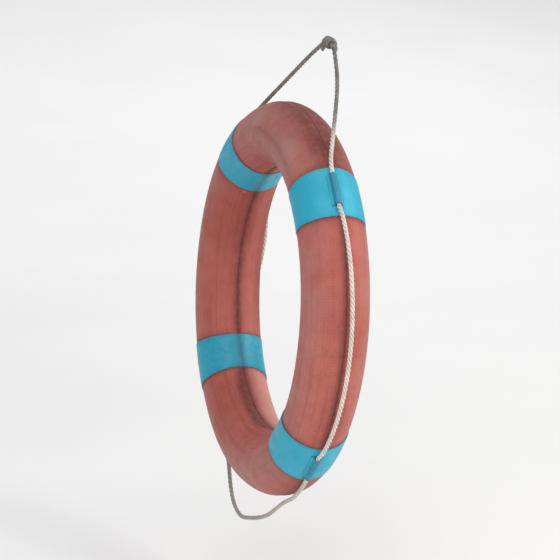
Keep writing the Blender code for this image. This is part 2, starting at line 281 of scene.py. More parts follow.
def shell_material(name, base, faded, dark):
    """Moulded plastic in uneven, faded tones with a fine woven emboss, with painted sheen, painted light and painted
    shade laid on from the mesh's attributes. UVs are in metres, U along the ring and V round the tube.
    """
    m = Nodes(name)
    m.shader.inputs["Specular IOR Level"].default_value = 0.55
    m.shader.inputs["Coat Weight"].default_value = 0.0
    clouds = m.noise(6.0, 4.0, 0.55)
    mottle = m.noise(46.0, 5.0, 0.6)
    colour = m.mix(m.ramp(clouds, 0.36, 0.66), base, faded)
    colour = m.mix(m.ramp(mottle, 0.42, 0.72, 0.0, 0.34), colour, dark)
    streak = m.noise(1.0, 4.0, 0.6, m.at((4.0, 120.0, 1.0), uv=True))
    colour = m.mix(m.ramp(streak, 0.46, 0.74, 0.0, 0.54), colour, (dark[0] * 0.80, dark[1] * 0.75, dark[2] * 0.75))
    # painted sheen: a grey haze in the base colour that stands in for the broad reflection of the lights, strongest on
    # the front of the top
    sheen_mix = m.math("MULTIPLY", m.attr("painted_sheen"), m.ramp(m.noise(15.0, 5.0, 0.6), 0.30, 0.72, 0.35, 1.0))
    colour = m.mix(m.math("MULTIPLY", sheen_mix, 0.50, clamp=True), colour, (0.42, 0.243, 0.222))
    # painted light: the back of the inside of the bottom is made lighter
    sun = m.math("MULTIPLY", m.attr("sun"), m.ramp(m.noise(22.0, 5.0, 0.6), 0.30, 0.72, 0.70, 1.0))
    colour = m.mix(sun, colour, (0.66, 0.335, 0.285))
    # the emboss: a fine basket weave
    uv = m.split(m.coord.outputs["UV"])
    k = 2 * math.pi / 0.0046
    along = m.math("SINE", m.math("MULTIPLY", uv[0], k), 0)
    across = m.math("SINE", m.math("MULTIPLY", uv[1], k * 0.72), 0)
    weave = m.ramp(m.math("ADD", m.math("MULTIPLY", along, across), m.math("MULTIPLY", along, 0.45)), -1.3, 1.3)
    colour = m.mix(m.ramp(weave, 0.0, 0.55, 0.26, 0.0), colour, (dark[0] * 0.62, dark[1] * 0.75, dark[2] * 0.80))
    # fine scuffs that run with the tube, and small knocks
    scuff = m.noise(60.0, 2.0, 0.5, m.at((1.0, 9.0, 1.0), (0.3, 0.2, 0.5)))
    scuff = m.ramp(scuff, 0.66, 0.74)
    knock = m.ramp(m.voronoi(21.0, m.at((1, 1, 1), (0.4, 0.1, 0.9))), 0.05, 0.085, 1.0, 0.0)
    knock = m.math("MULTIPLY", knock, m.ramp(m.noise(11.0, 2.0), 0.52, 0.60))
    worn = m.math("MAXIMUM", m.math("MULTIPLY", scuff, 0.30), m.math("MULTIPLY", knock, 0.45))
    colour = m.mix(worn, colour, (0.55, 0.27, 0.24))
    # painted shade: darker along the bands' edges, wider along the seams, on the outside of the top and on the back of
    # the left limb, with a faint line along the crown
    shade_and_grime = m.math("MULTIPLY", m.attr("shade_and_grime"), m.ramp(m.noise(90.0, 4.0, 0.6), 0.30, 0.70, 0.72, 1.0))
    colour = m.mix(m.math("MULTIPLY", shade_and_grime, 0.94), colour, (0.108, 0.018, 0.014))
    rough = m.ramp(m.noise(34.0, 5.0, 0.6), 0.30, 0.75, 0.46, 0.64)
    rough = m.math("ADD", rough, m.math("MULTIPLY", m.math("MAXIMUM", worn, m.attr("shade_and_grime")), 0.22), clamp=True)
    n = m.bump(m.noise(9.0, 2.0, 0.4), 0.35, 0.0040)
    n = m.bump(weave, 0.42, 0.00045, n)
    pebble = m.noise(620.0, 2.0, 0.45)
    n = m.bump(pebble, 0.25, 0.00035, n)
    n = m.bump(m.math("MULTIPLY", worn, -1.0), 0.4, 0.0002, n)
    return m.out(colour, rough, n)


def tape_material(name, base, faded, period, weave, knots=0.0):
    """Woven, coated tape or webbing: UVs are in metres, U along the ring and V across."""
    m = Nodes(name)
    uv = m.split(m.coord.outputs["UV"])
    k = 2 * math.pi / period
    along = m.math("SINE", m.math("MULTIPLY", uv[0], k), 0)
    across = m.math("SINE", m.math("MULTIPLY", uv[1], k), 0)
    basket = m.math("MULTIPLY", along, across)
    threads = m.ramp(basket, -1.0, 1.0)
    clouds = m.noise(14.0, 4.0, 0.6)
    colour = m.mix(m.ramp(clouds, 0.35, 0.70), base, faded)
    colour = m.mix(m.math("MULTIPLY", threads, weave), colour, (base[0] * 0.35, base[1] * 0.55, base[2] * 0.62))
    # painted shade, with grime on the lapped end: darker at the band's edges and, on the lower left band, all over
    shade_and_grime = m.math("MULTIPLY", m.attr("shade_and_grime"), m.ramp(m.noise(160.0, 5.0, 0.65), 0.30, 0.72, 0.25, 1.0))
    colour = m.mix(m.math("MULTIPLY", shade_and_grime, 0.72), colour, (0.012, 0.085, 0.14))
    # painted shade: a dark line where the band follows the shell's inner seam
    colour = m.mix(m.math("MULTIPLY", m.attr("seam"), 0.80), colour, (0.010, 0.085, 0.150))
    scuff = m.ramp(m.noise(85.0, 3.0, 0.6, m.at((1.0, 5.0, 1.0))), 0.64, 0.75, 0.0, 0.30)
    colour = m.mix(scuff, colour, (0.26, 0.56, 0.66))
    rough = m.ramp(m.noise(60.0, 4.0, 0.6), 0.3, 0.7, 0.36, 0.56)
    n = m.bump(m.noise(55.0, 3.0, 0.5), 0.30, 0.0010)
    n = m.bump(threads, 0.45, 0.00016, n)
    return m.out(colour, rough, n)


def rope_material(name):
    """U runs once round the rope, fixed to the strands; V is the length in metres."""
    m = Nodes(name)
    m.shader.inputs["Sheen Weight"].default_value = 0.25
    m.shader.inputs["Sheen Roughness"].default_value = 0.5
    uv = m.split(m.coord.outputs["UV"])
    yarn = m.math("ADD", m.math("MULTIPLY", uv[0], 2 * math.pi * 21), m.math("MULTIPLY", uv[1], 2 * math.pi * 150))
    yarn = m.math("SINE", yarn, 0)
    fibre = m.noise(1.0, 3.0, 0.6, m.at((220.0, 900.0, 1.0), uv=True))
    groove = m.attr("groove")
    colour = m.mix(m.ramp(m.noise(30.0, 3.0, 0.6), 0.35, 0.70), (0.88, 0.79, 0.72), (0.74, 0.64, 0.57))
    # painted shade in the grooves between the strands
    colour = m.mix(m.math("MULTIPLY", groove, 0.62), colour, (0.20, 0.16, 0.14))
    colour = m.mix(m.ramp(yarn, -1.0, -0.35, 0.34, 0.0), colour, (0.30, 0.25, 0.22))
    colour = m.mix(m.ramp(fibre, 0.60, 0.78, 0.0, 0.45), colour, (0.86, 0.82, 0.77))
    # painted shade along the rope, given per piece: darkest on the knot and the hanging legs
    rope_shade = m.math("MULTIPLY", m.attr("rope_shade"), m.ramp(m.noise(60.0, 4.0, 0.6), 0.30, 0.70, 0.84, 1.0))
    colour = m.mix(m.math("MULTIPLY", rope_shade, 0.97), colour, (0.072, 0.068, 0.062))
    rough = m.ramp(fibre, 0.3, 0.7, 0.62, 0.86)
    n = m.bump(m.ramp(yarn, -1.0, 0.6), 0.65, 0.00035)
    n = m.bump(fibre, 0.35, 0.00020, n)
    return m.out(colour, rough, n)


def foam_material(name):
    m = Nodes(name)
    cells = m.voronoi(420.0)
    colour = m.mix(m.ramp(cells, 0.1, 0.7), (0.84, 0.78, 0.62), (0.66, 0.58, 0.42))
    return m.out(colour, m.ramp(cells, 0.1, 0.8, 0.80, 0.95), m.bump(cells, 0.6, 0.0008))


def floor_material(name, base):
    m = Nodes(name)
    cloud = m.noise(1.6, 4.0, 0.5)
    colour = m.mix(m.ramp(cloud, 0.3, 0.7), base, tuple(c * 0.97 for c in base))
    return m.out(colour, m.ramp(m.noise(40.0, 3.0), 0.3, 0.7, 0.78, 0.9), m.bump(m.noise(300.0, 3.0), 0.08, 0.0006))


RED = shell_material("moulded_red_shell", (0.398, 0.074, 0.050), (0.462, 0.106, 0.078), (0.300, 0.047, 0.034))
PLUG_RED = shell_material("moulded_red_plug", (0.315, 0.055, 0.043), (0.36, 0.08, 0.064), (0.22, 0.033, 0.026))
BLUE_TAPE = tape_material("blue_coated_tape", (0.010, 0.345, 0.490), (0.022, 0.405, 0.560), 0.0046, 0.16)
# the keeper's arch is a darker blue than the tape: partly the webbing's own colour, partly painted shade beside the
# line
SHADED_BLUE_WEB = tape_material("blue_webbing_partly_shaded", (0.012, 0.225, 0.350), (0.025, 0.280, 0.420), 0.0022, 0.45)
ROPE = rope_material("off_white_laid_rope")
FOAM = foam_material("cream_foam")


def thread_material(name):
    m = Nodes(name)
    tone = m.noise(900.0, 2.0)
    return m.out(m.mix(m.ramp(tone, 0.35, 0.65), (0.03, 0.27, 0.42), (0.07, 0.36, 0.52)), m.ramp(tone, 0.3, 0.7, 0.5, 0.7), m.bump(tone, 0.4, 0.0001))


THREAD = thread_material("blue_thread")


# --- shell halves ----------------------------------------------------------------
def shell_half(name, side, node):
    rim = 0.00001
    angles = even_section(0.0, 0, 180, 90)
    ox, oy = section(0.0, angles)
    span = np.concatenate([[0], np.cumsum(np.hypot(np.diff(ox), np.diff(oy)))])
    near = np.minimum(span, span[-1] - span)
    dip = groove(near, SEAM_DEPTH, SEAM_WIDTH)
    # the crown is a soft ridge between two flatter quarters
    ox = ox - np.sign(ox) * dip * (np.abs(ox) > HW * 0.5)
    ix, iy = section(-WALL - 0.0006, even_section(-WALL, 180, 0, 20))
    outer = list(zip(ox, oy))
    inner = list(zip(ix, iy))
    x0, x1 = outer[0][0], outer[-1][0]
    c = CHAMFER
    start = [(x0 - c, -rim), (x0 - 0.80 * c, -rim - 0.10 * c), (x0 - 0.32 * c, -rim - 0.42 * c), (x0 - 0.08 * c, -rim - 0.85 * c)]
    end = [(x1 + 0.08 * c, -rim - 0.85 * c), (x1 + 0.32 * c, -rim - 0.42 * c), (x1 + 0.80 * c, -rim - 0.10 * c), (x1 + c, -rim)]
    outer = start + [p for p in outer if p[1] < -rim - 1.2 * c] + end
    inner[0] = (inner[0][0], -rim)
    inner[-1] = (inner[-1][0], -rim)
    profile = np.array(outer + inner)
    n_out = len(outer)
    count = 256
    stations = np.arange(count) * 360 / count
    pts, uvs, shade_and_grime = [], [], []
    run = np.concatenate([[0], np.cumsum(np.linalg.norm(np.diff(profile, axis=0), axis=1))])
    far = np.array([min(run[i], run[n_out - 1] - run[i]) if i < n_out else 1.0 for i in range(len(profile))])
    inside = profile[:, 0] < 0
    # painted shade along the seams: a narrow dark core and a wide soft skirt
    seam = 0.72 * np.exp(-(far / np.where(inside, 0.0088, 0.0064)) ** 2) + 0.26 * np.exp(-(far / 0.022) ** 2)
    turn = np.degrees(np.arctan2(np.abs(profile[:, 1]), profile[:, 0]))
    # painted sheen, greatest where the section faces front and outwards
    painted_sheen = np.exp(-((turn - 72) / 34) ** 2)
    painted_sheens, painted_lights = [], []
    for a in stations:
        # the moulding is a little uneven, by less than half a millimetre, away from the seam
        t = math.radians(a)
        wave = 0.00022 * math.sin(3 * t + 0.6) + 0.00016 * math.sin(7 * t + 2.1)
        calm = np.array([math.sin(math.pi * i / (n_out - 1)) if i < n_out else 0.0 for i in range(len(profile))])
        ring = on_ring(profile[:, 0], (profile[:, 1] - wave * calm) * side, np.full(len(profile), a))
        pts.append(ring)
        uvs.append(np.stack([np.full(len(profile), t * MEAN_R), run], axis=-1))
        # painted shade next to the bands' edges
        gap = min(abs((a - b + 180) % 360 - 180) for b in BANDS.values()) - BAND_HALF
        edge = math.exp(-max(gap, 0.0) / 0.9)
        # below the lower left band the painted seam shade widens from the seam to its front side
        shade_spread = 0.0125 * eased((a - 222) / 16) * eased((285 - a) / 20) if side > 0 else 0.0
        reach = np.where(inside, np.maximum(far - shade_spread, 0.0), far)
        line = seam if shade_spread == 0 else 0.78 * np.exp(-(reach / np.where(inside, 0.0080, 0.0064)) ** 2) + 0.20 * np.exp(-(reach / 0.020) ** 2)
        # painted shadow on the outside of the top of the ring, and the painted sheen is strongest on the front there
        top = math.exp(-(((a - 80 + 180) % 360 - 180) / 26.0) ** 4)
        painted_shade = 1.0 * top * (turn < 90) * (np.exp(-((turn + 4) / 44) ** 2) if side > 0 else np.exp(-((turn - 4) / 60) ** 2))
        # painted shade on the back of the left limb; a faint painted shade line follows the crown of the top
        painted_shade = painted_shade + 0.62 * math.exp(-(((a - 176) / 34.0) ** 4)) * np.exp(-((turn - 122) / 20) ** 2) * (side < 0)
        painted_shade = painted_shade + 0.34 * math.exp(-(((a - 80) / 25.0) ** 4)) * np.exp(-((turn - 80) / 5.5) ** 2) * (side > 0)
        shade_and_grime.append(np.clip(np.maximum(edge, line) + painted_shade * (np.arange(len(profile)) < n_out), 0, 1))
        painted_sheens.append(painted_sheen * (1 + 0.9 * top))
        # painted light on the inside of the bottom, lightest on its back quarter
        low = math.exp(-(((a - 262 + 180) % 360 - 180) / 48.0) ** 4)
        painted_lights.append(0.85 * low * (turn > 90) * np.exp(-((turn - 134) / 30) ** 2) * (np.arange(len(profile)) < n_out) * (side < 0))
    verts = np.concatenate(pts)
    faces = grid_faces(count, len(profile), True, True)
    o = obj_from(name, verts, faces, [RED], np.concatenate(uvs), 50, {"shade_and_grime": np.concatenate(shade_and_grime), "painted_sheen": np.concatenate(painted_sheens), "sun": np.concatenate(painted_lights)})
    face_out(o)
    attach(o, "ring")
    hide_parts(node)
    return o


front = shell_half("shell_front_moulding", 1, "front_shell")
back = shell_half("shell_back_moulding", -1, "back_shell")


# --- plugs in the back half --------------------------------------------------------
def lathe(name, profile, place, mats, sides=72):
    """A profile of (radius, y) turned about the Y axis through place."""
    verts, faces = [], []
    n = len(profile)
    for k in range(sides):
        t = 2 * math.pi * k / sides
        for r, y in profile:
            verts.append((place.x + r * math.cos(t), place.y + y, place.z + r * math.sin(t)))
    faces = grid_faces(sides, n, True, False)
    low, high = len(verts), len(verts) + 1
    verts += [(place.x, place.y + profile[0][1], place.z), (place.x, place.y + profile[-1][1], place.z)]
    for k in range(sides):
        a, b = k * n, ((k + 1) % sides) * n
        faces.append((low, a, b))
        faces.append((high, b + n - 1, a + n - 1))
    uv = [(v[0], v[2]) for v in verts]
    return face_out(obj_from(name, verts, faces, mats, uv, 40, {"shade_and_grime": np.zeros(len(verts))}))


def apply_modifiers(o):
    graph = bpy.context.evaluated_depsgraph_get()
    graph.update()
    mesh = bpy.data.meshes.new_from_object(o.evaluated_get(graph), preserve_all_data_layers=True, depsgraph=graph)
    old = o.data
    o.modifiers.clear()
    o.data = mesh
    bpy.data.meshes.remove(old)
    return o


def boolean(o, cutter, operation="DIFFERENCE"):
    mod = o.modifiers.new("cut", "BOOLEAN")
    mod.operation = operation
    mod.solver = "EXACT"
    mod.object = cutter
    apply_modifiers(o)
    bpy.data.objects.remove(cutter, do_unlink=True)
    return o


def box_mesh(name, low, high):
    (a, b, c), (d, e, f) = low, high
    v = [(x, y, z) for x in (a, d) for y in (b, e) for z in (c, f)]
    faces = [(0, 1, 3, 2), (4, 6, 7, 5), (0, 4, 5, 1), (2, 3, 7, 6), (0, 2, 6, 4), (1, 5, 7, 3)]
    return face_out(obj_from(name, v, faces, []))


def plug(name, node, angle, radius):
    t = math.radians(angle)
    place = Vector((CENTRE.x + MEAN_R * math.cos(t), CENTRE.y, CENTRE.z + MEAN_R * math.sin(t)))
    flange, top = radius + 0.0040, HD + GAP
    h = 0.0016
    profile = [
        (0.0005, top - WALL - 0.0010), (radius - 0.0012, top - WALL - 0.0010), (radius - 0.0005, top - WALL - 0.0004),
        (radius - GAP, top - WALL + 0.0003), (radius - GAP, top - 0.0002), (flange - 0.0004, top - 0.0002),
        (flange, top + 0.0003), (flange, top + h * 0.45), (flange - 0.0003, top + h * 0.75), (flange - 0.0009, top + h * 0.95),
        (flange - 0.0016, top + h), (radius * 0.80, top + h), (radius * 0.76, top + h - 0.0004), (radius * 0.70, top + h - 0.0004),
        (radius * 0.66, top + h), (0.0005, top + h),
    ]
    o = lathe(name, profile, place, [PLUG_RED])
    crown_x, crown_y = section(0.0, even_section(0.0, 0, 180, 400))
    crown_x, crown_y = crown_x[::-1], -crown_y[::-1]
    for v in o.data.vertices:
        if v.co.y - place.y > top - 0.0010:
            out = Vector((v.co.x - CENTRE.x, v.co.z - CENTRE.z)).length - MEAN_R
            v.co.y -= (HD - float(np.interp(out, crown_x, crown_y))) * (1.0 if v.co.y - place.y < top + 0.0004 else 0.85)
    width, reach = radius * 0.16, radius * 0.50
    cutter = box_mesh("slot_cutter", (place.x - reach, place.y + top + h - 0.0009, place.z - width), (place.x + reach, place.y + top + 0.01, place.z + width))
    cutter.rotation_euler = (0, 0, 0)
    boolean(o, cutter)
    o.data.set_sharp_from_angle(angle=math.radians(40))
    hole = lathe("hole_cutter", [(radius, HD - 0.02), (radius, HD + 0.02)], place, [], 72)
    boolean(back, hole)
    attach(o, "ring")
    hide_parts(node)
    return o


plug("filling_plug", "fill_plug", 90.0, 0.0085)
plug("vent_hole_plug", "vent_plug", 270.0, 0.0050)
back.data.set_sharp_from_angle(angle=math.radians(50))

core = frame["nodes"]["foam_core"]
core.data.materials.clear()
core.data.materials.append(FOAM)


# --- bands ---------------------------------------------------------------------------
def band(place, centre):
    """A sleeve of coated tape: rounded edges, creases on the inside of the ring, and a lapped end on the inner back."""
    edge = [-8.0, -7.985, -7.94, -7.86, -7.72]
    steps = np.array(edge + list(np.linspace(-7.2, 7.2, 17)) + [-e for e in edge[::-1]])
    around = even_section(GAP, 0, 360, 133)[:-1]
    n = len(around)
    s = np.radians(around)
    lap = np.clip((around - 205.0) / 1.2, 0, 1) * np.clip((232.0 - around) / 1.2, 0, 1)
    inner_side = np.clip(-np.cos(s), 0, 1) ** 2
    rows_out, rows_in, uv, shade_and_grime, seam = [], [], [], [], []
    perimeter = np.concatenate([[0], np.cumsum(np.hypot(*np.diff(np.array(section(GAP, around)), axis=1)))])
    phase = rng.uniform(0, 6.28, 4)
    for step in steps:
        near = (BAND_HALF - abs(step)) / BAND_HALF
        rounding = min(1.0, 0.30 + 0.70 * math.sqrt(max(0.0, 1 - (1 - min(near / 0.035, 1.0)) ** 2)))
        crease = 0.00030 * inner_side * math.exp(-near / 0.30) * np.sin(9 * s + phase[0] + (0.8 if step > 0 else 0)) * np.sin(23 * s + phase[1])
        ripple = 0.00008 * np.sin(5 * s + phase[2] + step * 0.5)
        t = BAND_T * rounding * (1 + 0.45 * lap) + np.maximum(crease + ripple, -0.25 * BAND_T) * min(near / 0.06, 1.0)
        x1, y1 = section(GAP, around)
        dip = groove(np.where(np.abs(x1) > HW * 0.5, y1, 1.0), SEAM_DEPTH * 0.85, SEAM_WIDTH)
        # outward direction of the section at each point
        dx, dy = np.gradient(x1), np.gradient(y1)
        nx, ny = dy, -dx
        length = np.hypot(nx, ny)
        nx, ny = nx / length, ny / length
        flip = np.sign(nx * x1 + ny * y1)
        nx, ny = nx * flip, ny * flip
        x1 = x1 - np.sign(x1) * dip
        rows_in.append(on_ring(x1, y1, np.full(n, centre + step)))
        rows_out.append(on_ring(x1 + nx * t, y1 + ny * t, np.full(n, centre + step)))
        uv.append(np.stack([np.full(n, math.radians(step) * MEAN_R), perimeter], axis=-1))
        # painted shade at the band's edges and all over the lower left band, with grime on the lapped end
        shade_and_grime.append(np.full(n, math.exp(-near / 0.06)) * 0.9 + 0.25 * lap + 0.34 * (place == "lower_left"))
        # painted shade along the inner seam line
        seam.append((0.62 * np.exp(-(y1 / 0.0060) ** 2) + 0.26 * np.exp(-(y1 / 0.018) ** 2)) * (x1 < -HW * 0.5))
    rows = len(steps)
    verts = np.concatenate(rows_out + rows_in)
    faces = grid_faces(rows, n, False, True) + grid_faces(rows, n, False, True, rows * n)
    for row in (0, rows - 1):
        for j in range(n):
            a, b = row * n + j, row * n + (j + 1) % n
            faces.append((a, b, rows * n + b, rows * n + a))
    o = obj_from(f"tape_band_{place}", verts, faces, [BLUE_TAPE], np.concatenate(uv + uv), 60, {"shade_and_grime": np.clip(np.concatenate(shade_and_grime + shade_and_grime), 0, 1), "seam": np.concatenate(seam + seam)})
    recalc(o)
    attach(o, "ring")
    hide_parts(f"band_{place}")
    return o


def recalc(o):
    import bmesh
    bm = bmesh.new()
    bm.from_mesh(o.data)
    bm.normal_update()
    bmesh.ops.recalc_face_normals(bm, faces=bm.faces)
    bm.to_mesh(o.data)
    bm.free()
    return o


# --- keepers -----------------------------------------------------------------------------
def keeper(place, centre):
    """A webbing saddle over the line, its edges rounded, stitched down along both flanges."""
    base, rope = KEEPER_BASE - MEAN_R, ROPE_LINE - MEAN_R
    arch, half = BORE + K_WALL, BORE + K_WALL + K_FLANGE
    low = base + K_FLANGE_T
    r = 0.0006
    p = [(base + 0.0001, -half + r), (base + 0.0003, -half + 0.0001), (low - 0.0004, -half), (low - 0.0001, -half + 0.0003), (low, -half + 0.0010)]
    fillet = 0.0012
    p += [(low, -arch - fillet), (low + 0.0003, -arch - 0.0004), (low + 0.0010, -arch)]
    p += [(rope + arch * math.sin(a), -arch * math.cos(a)) for a in np.radians(np.arange(0, 181, 10)) if rope + arch * math.sin(a) > low + 0.0015]
    p += [(low + 0.0010, arch), (low + 0.0003, arch + 0.0004), (low, arch + fillet)]
    p += [(low, half - 0.0010), (low - 0.0001, half - 0.0003), (low - 0.0004, half), (base + 0.0003, half - 0.0001), (base + 0.0001, half - r)]
    p += [(base + 0.0001, BORE + 0.0003), (base + 0.0006, BORE)]
    p += [(rope + BORE * math.sin(a), BORE * math.cos(a)) for a in np.radians(np.arange(0, 181, 12))]
    p += [(base + 0.0006, -BORE), (base + 0.0001, -BORE - 0.0003)]
    p = np.array(p)
    n = len(p)
    p0 = p[:, 0].copy()
    reach = np.clip((np.abs(p[:, 1]) - BORE) / (half - BORE), 0, 1) * (p[:, 0] < rope)
    lay_x, lay_y = section(GAP, even_section(GAP, -90, 90, 181))
    lay_x, lay_y = lay_x[np.argsort(lay_y)], np.sort(lay_y)
    fall = (HW + GAP) - np.interp(p[:, 1] + LINE_AXIAL, lay_y, lay_x)
    p[:, 0] -= fall * reach ** 0.8
    p[:, 1] += LINE_AXIAL
    k = KEEPER_HALF
    steps = [-k, -k + 0.03, -k + 0.10] + list(np.linspace(-k + 0.30, k - 0.30, 15)) + [k - 0.10, k - 0.03, k]
    run = np.concatenate([[0], np.cumsum(np.linalg.norm(np.diff(p, axis=0), axis=1))])
    rows, uv, shade_and_grime = [], [], []
    for step in steps:
        near = k - abs(step)
        shrink = 0.00035 * (1 - math.sqrt(max(0.0, 1 - (1 - min(near / 0.10, 1.0)) ** 2)))
        q = p.copy()
        top = (p0 > low - 0.0001)
        # the webbing is drawn in a little at the middle and flares at its mouths
        flare = 0.00022 * (abs(step) / k) ** 6
        wobble = 0.00018 * math.sin(step * 2.3 + centre) * top
        q[:, 0] = q[:, 0] - shrink * top + flare * (q[:, 0] > rope) + wobble * (q[:, 0] > rope)
        rows.append(on_ring(q[:, 0], q[:, 1], np.full(n, centre + step)))
        uv.append(np.stack([np.full(n, math.radians(step) * OUTER_R), run], axis=-1))
        # painted shade at the keeper's mouths and along the foot of its arch
        shade_and_grime.append(np.full(n, math.exp(-near / 0.25)) * 0.8 + 0.6 * (np.abs(np.abs(q[:, 1] - LINE_AXIAL) - arch) < 0.0006) * top)
    verts = np.concatenate(rows)
    faces = grid_faces(len(steps), n, False, True)
    faces.append(tuple(range(n)))
    faces.append(tuple((len(steps) - 1) * n + j for j in range(n)))
    o = obj_from(f"webbing_keeper_{place}", verts, faces, [SHADED_BLUE_WEB, BLUE_TAPE], np.concatenate(uv), 48, {"shade_and_grime": np.clip(np.concatenate(shade_and_grime), 0, 1)})
    flat = np.abs(p[:, 1] - LINE_AXIAL) > arch - 0.0001
    for k_face in range((len(steps) - 1) * n):
        j = k_face % n
        if flat[j] and flat[(j + 1) % n]:
            o.data.polygons[k_face].material_index = 1
    recalc(o)
    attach(o, "ring")
    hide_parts(f"rope_keeper_{place}")
    # stitches: short thread loops sunk in the flange
    verts, faces = [], []
    sides = 8
    for sign in (-1, 1):
        y = sign * (arch + K_FLANGE * 0.58)
        drop = ((HW + GAP) - float(np.interp(y + LINE_AXIAL, lay_y, lay_x))) * ((abs(y) - BORE) / (half - BORE)) ** 0.8
        y += LINE_AXIAL
        for i in range(17):
            a0 = centre - k + 0.35 + i * (2 * k - 0.70) / 17 + 0.06
            a1 = a0 + (2 * k - 0.70) / 17 - 0.16
            prof = [(0.0, 0.15), (0.12, 0.72), (0.30, 1.0), (0.5, 1.08), (0.70, 1.0), (0.88, 0.72), (1.0, 0.15)]
            start = len(verts)
            for f, size in prof:
                lift = low - drop + 0.00022 * math.sin(math.pi * f) - 0.00006
                rad = 0.00034 * size
                ang = a0 + (a1 - a0) * f
                for q in range(sides):
                    w = 2 * math.pi * q / sides
                    verts.append(tuple(on_ring(lift + rad * math.sin(w), y + rad * math.cos(w), np.array(ang))))
            faces += grid_faces(len(prof), sides, False, True, start)
            faces.append(tuple(start + q for q in range(sides)))
            faces.append(tuple(start + (len(prof) - 1) * sides + q for q in range(sides)))
    st = obj_from(f"keeper_stitching_{place}", verts, faces, [THREAD], [(v[0], v[2]) for v in verts], 60)
    recalc(st)
    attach(st, "ring")
    return o


for place, centre in BANDS.items():
    band(place, centre)
    keeper(place, centre)


# --- the line -----------------------------------------------------------------------------
def line_point(angle, lift=0.0, axial=0.0):
    t = math.radians(angle)
    r = ROPE_LINE + lift
    return Vector((r * math.cos(t), LINE_AXIAL + axial, r * math.sin(t)))


def smooth_route(points, spacing):
    """Evenly spaced points on a centripetal Catmull-Rom curve through the route's own points."""
    pts = np.array([tuple(p) for p in points], float)
    pts = np.vstack([2 * pts[0] - pts[1], pts, 2 * pts[-1] - pts[-2]])
    fine = []
    for i in range(1, len(pts) - 2):
        p0, p1, p2, p3 = pts[i - 1], pts[i], pts[i + 1], pts[i + 2]
        t0 = 0.0
        t1 = t0 + np.linalg.norm(p1 - p0) ** 0.5
        t2 = t1 + np.linalg.norm(p2 - p1) ** 0.5
        t3 = t2 + np.linalg.norm(p3 - p2) ** 0.5
        for t in np.linspace(t1, t2, 24, endpoint=False):
            a1 = (t1 - t) / (t1 - t0) * p0 + (t - t0) / (t1 - t0) * p1
            a2 = (t2 - t) / (t2 - t1) * p1 + (t - t1) / (t2 - t1) * p2
            a3 = (t3 - t) / (t3 - t2) * p2 + (t - t2) / (t3 - t2) * p3
            b1 = (t2 - t) / (t2 - t0) * a1 + (t - t0) / (t2 - t0) * a2
            b2 = (t3 - t) / (t3 - t1) * a2 + (t - t1) / (t3 - t1) * a3
            fine.append((t2 - t) / (t2 - t1) * b1 + (t - t1) / (t2 - t1) * b2)
    fine.append(pts[-2])
    fine = np.array(fine)
    along = np.concatenate([[0], np.cumsum(np.linalg.norm(np.diff(fine, axis=0), axis=1))])
    count = max(3, round(along[-1] / spacing) + 1)
    want = np.linspace(0, along[-1], count)
    return np.stack([np.interp(want, along, fine[:, k]) for k in range(3)], axis=-1)


def loop_points(start, end, lift, axial, lean=0.0):
    first, last = line_point(start), line_point(end)
    axis = (last - first).normalized()
    points = []
    for i in range(25):
        t = i / 24
        stand = math.sin(math.pi * t) ** 0.7 if 0 < t < 1 else 0.0
        point = line_point(start + (end - start) * t, lift * stand, axial * stand)
        a = math.radians(lean * eased(min(t, 1 - t) / 0.3))
        along = axis * (point - first).dot(axis)
        across = point - first - along
        points.append(first + along + across * math.cos(a) + axis.cross(across) * math.sin(a))
    return points


LAY = 0.0270       # length of one turn of a strand
STRAND = 0.00233   # radius of a strand
STRAND_AT = ROPE_R - STRAND


